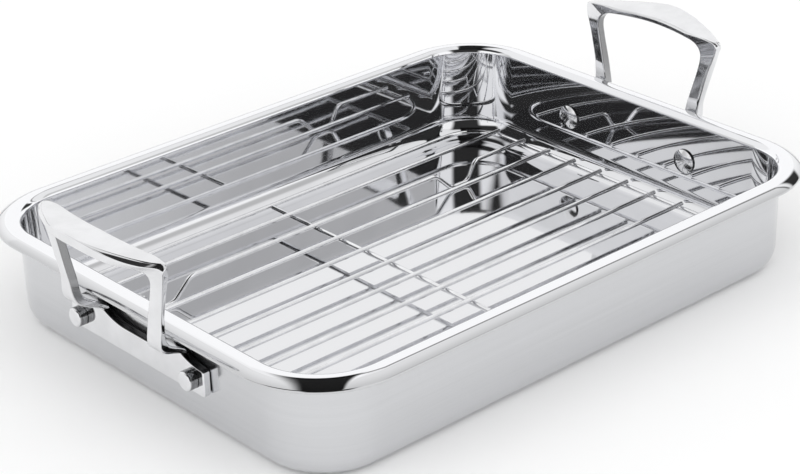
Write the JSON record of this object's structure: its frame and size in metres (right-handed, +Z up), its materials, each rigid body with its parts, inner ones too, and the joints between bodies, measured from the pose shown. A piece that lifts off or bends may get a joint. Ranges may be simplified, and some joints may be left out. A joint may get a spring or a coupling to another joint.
{
  "type": "roasting pan",
  "caption": "Rectangular polished steel roasting pan with a wide crowned lip, riveted arched handles and a lift-out wire rack that stands on bent wire feet.",
  "frame": {"origin": "on the ground under the middle of the pan's base", "axes": "+X along the pan towards the right handle, +Y across it towards the back, +Z up out of the pan"},
  "size_m": [0.477, 0.323, 0.1164],
  "materials": {
    "pan_steel": "mirror inside and on the lip, satin outside",
    "handle_steel": "polished casting",
    "rivet_steel": "polished",
    "rack_wire": "bright polished wire"
  },
  "bodies": {
    "pan": {"pan_body": "pan_steel", "handle_left": "handle_steel", "handle_right": "handle_steel", "rivet_left_back": "rivet_steel", "rivet_left_front": "rivet_steel", "rivet_right_back": "rivet_steel", "rivet_right_front": "rivet_steel"},
    "rack": {"rack_frame": "rack_wire", "rack_cross_bar": "rack_wire", "rack_wire_01": "rack_wire", "rack_foot_wire_02": "rack_wire", "rack_wire_03": "rack_wire", "rack_wire_04": "rack_wire", "rack_wire_05": "rack_wire", "rack_wire_06": "rack_wire", "rack_wire_07": "rack_wire", "rack_wire_08": "rack_wire", "rack_foot_wire_09": "rack_wire", "rack_wire_10": "rack_wire"}
  },
  "joints": [
    {"name": "rack_lift", "type": "slide", "parent": "pan", "child": "rack", "axis": [0, 0, 1], "range_m": [0, 0.12]}
  ]
}
